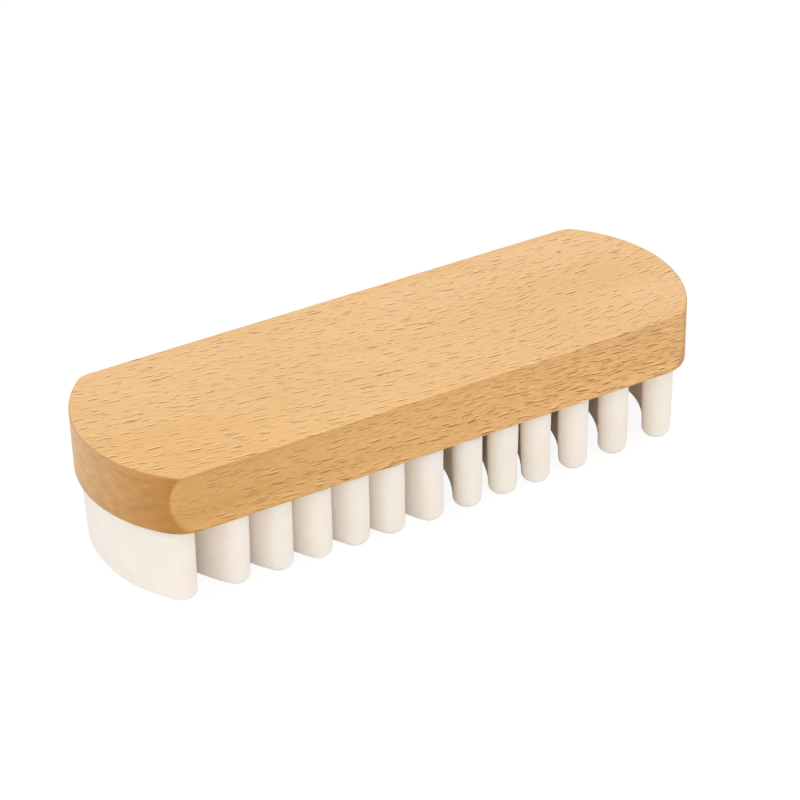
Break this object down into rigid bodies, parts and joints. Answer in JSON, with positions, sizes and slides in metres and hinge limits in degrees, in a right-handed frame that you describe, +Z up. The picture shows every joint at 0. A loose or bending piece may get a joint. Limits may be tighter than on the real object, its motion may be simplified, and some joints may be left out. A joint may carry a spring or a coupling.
{
  "type": "suede brush",
  "caption": "Hand brush for suede: a flat beech block with finger grooves, standing on a row of curved crepe rubber fins.",
  "frame": {"origin": "on the ground under the middle of the block, level with the tips of the fins", "axes": "+X runs along the block, +Y across it, and +Z up from the tips of the fins to the top of the block"},
  "size_m": [0.135, 0.0456, 0.03],
  "materials": {
    "beech": "satin",
    "crepe_rubber": "matte",
    "contact_glue": "matte"
  },
  "bodies": {
    "root": {"beech_block": "beech", "crepe_fin_01": "crepe_rubber", "crepe_fin_02": "crepe_rubber", "crepe_fin_03": "crepe_rubber", "crepe_fin_04": "crepe_rubber", "crepe_fin_05": "crepe_rubber", "crepe_fin_06": "crepe_rubber", "crepe_fin_07": "crepe_rubber", "crepe_fin_08": "crepe_rubber", "crepe_fin_09": "crepe_rubber", "crepe_fin_10": "crepe_rubber", "crepe_fin_11": "crepe_rubber", "crepe_fin_12": "crepe_rubber", "crepe_fin_13": "crepe_rubber", "glue_bed_01": "contact_glue", "glue_bed_02": "contact_glue", "glue_bed_03": "contact_glue", "glue_bed_04": "contact_glue", "glue_bed_05": "contact_glue", "glue_bed_06": "contact_glue", "glue_bed_07": "contact_glue", "glue_bed_08": "contact_glue", "glue_bed_09": "contact_glue", "glue_bed_10": "contact_glue", "glue_bed_11": "contact_glue", "glue_bed_12": "contact_glue", "glue_bed_13": "contact_glue"}
  },
  "joints": []
}
